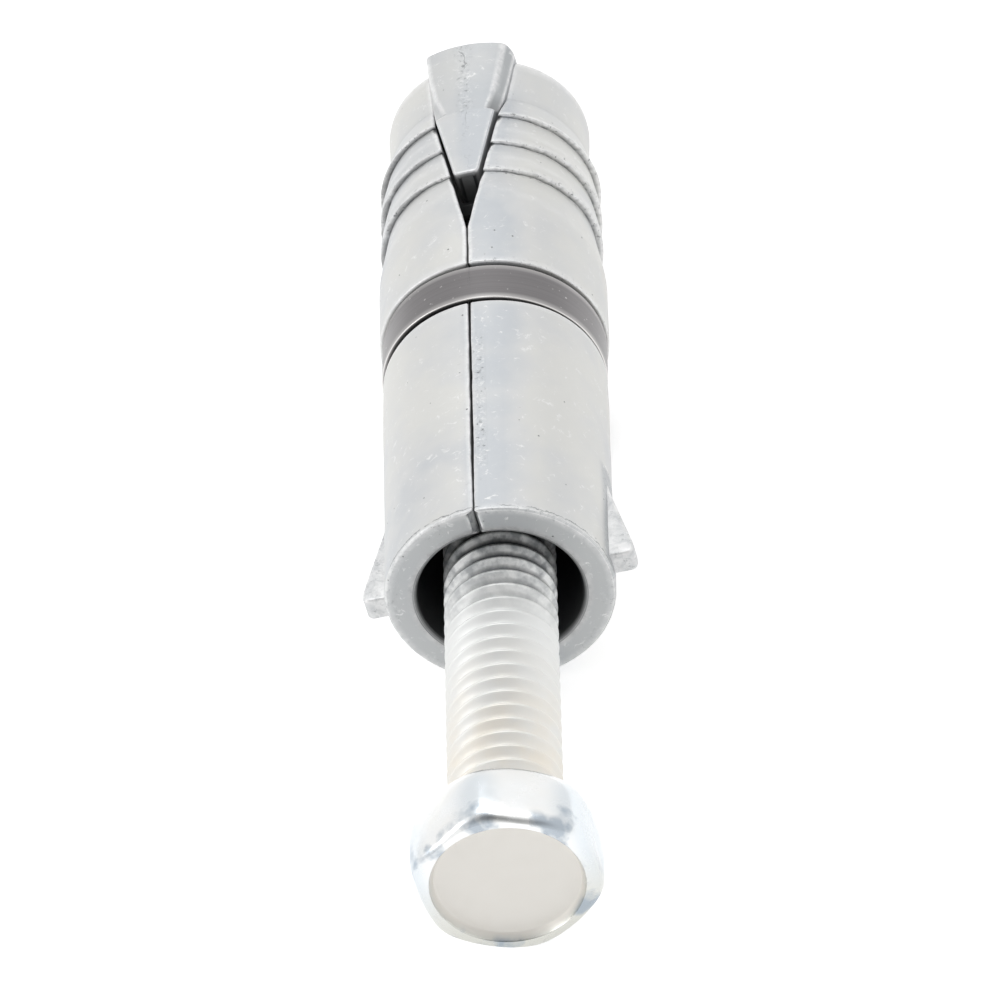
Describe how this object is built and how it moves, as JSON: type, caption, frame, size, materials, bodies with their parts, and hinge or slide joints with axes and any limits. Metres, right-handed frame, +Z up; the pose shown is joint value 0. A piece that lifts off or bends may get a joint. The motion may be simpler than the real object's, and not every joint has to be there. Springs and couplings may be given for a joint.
{
  "type": "expansion anchor",
  "caption": "Heavy expansion anchor: ridged half shells held by a spring band, spread by a finned wedge nut that a hex bolt draws in.",
  "frame": {"origin": "centre of the shell's mouth, on the axis, where the shell ends flush with the wall", "axes": "+Y along the axis into the drilled hole, bolt head at -Y, +Z up as the anchor lies, both seams in the plane X = 0"},
  "size_m": [0.0228, 0.0943, 0.0198],
  "materials": {
    "die_cast_zinc": "matt grey zinc die casting, as cast",
    "spring_steel": "dark rolled spring steel strip",
    "zinc_plated_steel": "bright zinc plating"
  },
  "bodies": {
    "band": {"spring_band": "spring_steel"},
    "left_half": {"half_shell_left": "die_cast_zinc"},
    "right_half": {"half_shell_right": "die_cast_zinc"},
    "bolt": {"hex_bolt": "zinc_plated_steel"},
    "nut": {"wedge_nut": "die_cast_zinc"}
  },
  "joints": [
    {"name": "bolt_turn", "type": "hinge", "parent": "band", "child": "bolt", "pos_m": [0, 0, 0], "axis": [0, 1, 0], "range_deg": [0, 907]},
    {"name": "nut_draw", "type": "slide", "parent": "band", "child": "nut", "axis": [0, -1, 0], "range_m": [0, 0.004]},
    {"name": "left_spread", "type": "hinge", "parent": "band", "child": "left_half", "pos_m": [0, 0, 0], "axis": [0, 0, 1], "range_deg": [0, 0.65]},
    {"name": "right_spread", "type": "hinge", "parent": "band", "child": "right_half", "pos_m": [0, 0, 0], "axis": [0, 0, -1], "range_deg": [0, 0.65]}
  ],
  "couplings": [
    {"joint": "nut_draw", "follows": "bolt_turn", "m_per_rad": 0.00025266},
    {"joint": "left_spread", "follows": "bolt_turn", "ratio": 0.00071},
    {"joint": "right_spread", "follows": "bolt_turn", "ratio": 0.00071}
  ]
}
